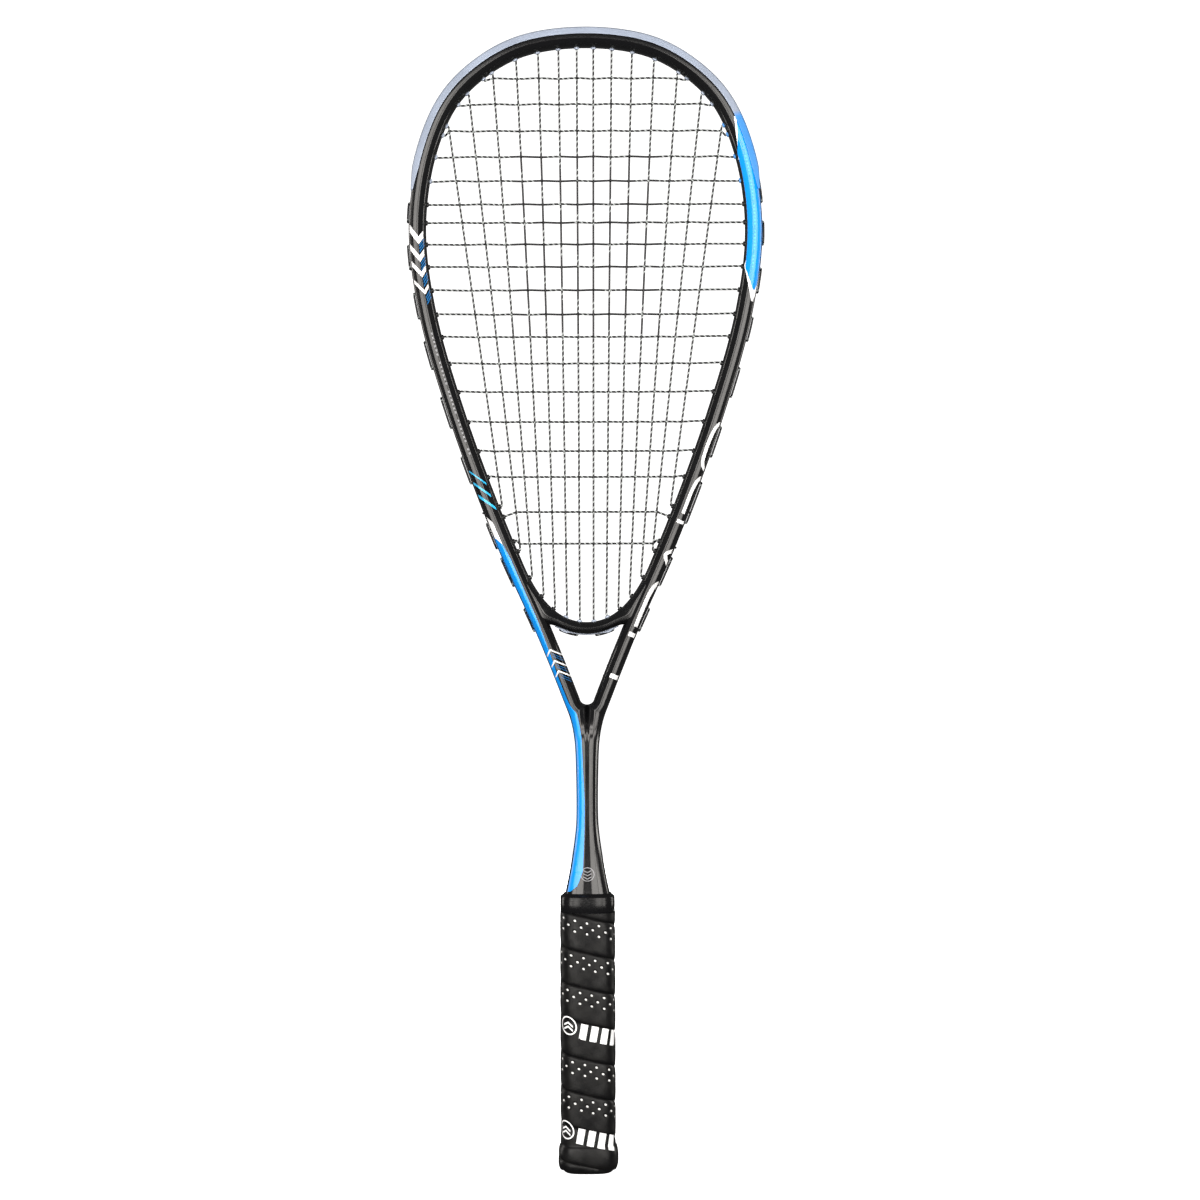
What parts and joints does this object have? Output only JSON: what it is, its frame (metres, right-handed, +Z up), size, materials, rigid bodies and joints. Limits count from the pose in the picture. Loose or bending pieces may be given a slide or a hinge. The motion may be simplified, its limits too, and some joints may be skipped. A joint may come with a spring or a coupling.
{
  "type": "squash racket",
  "caption": "Open-throat squash racket with a teardrop head, woven strings, bumper guard, slim shaft and wrapped grip.",
  "frame": {"origin": "middle of the butt cap's flat end", "axes": "+Z up the handle and shaft to the head, X across the head in the plane of the strings, -Y the front face"},
  "size_m": [0.2146, 0.031, 0.686],
  "materials": {
    "lacquered_carbon": "satin black lacquer over carbon fibre",
    "smoke_nylon": "translucent smoke-blue nylon",
    "black_nylon": "moulded black nylon",
    "string_nylon": "twisted black and white multifilament",
    "black_foam": "rigid moulded foam",
    "grip_rubber": "perforated cushion tape",
    "band_vinyl": "smooth stretch band"
  },
  "bodies": {
    "root": {"frame": "lacquered_carbon", "throat_bridge": "lacquered_carbon", "bumper_guard": "smoke_nylon", "side_grommet_strip_left": "black_nylon", "side_grommet_strip_right": "black_nylon", "throat_grommet_strip": "smoke_nylon", "main_string": "string_nylon", "cross_string": "string_nylon", "handle_core": "black_foam", "butt_cap": "black_nylon", "grip_tape": "grip_rubber", "finishing_band": "band_vinyl"}
  },
  "joints": []
}
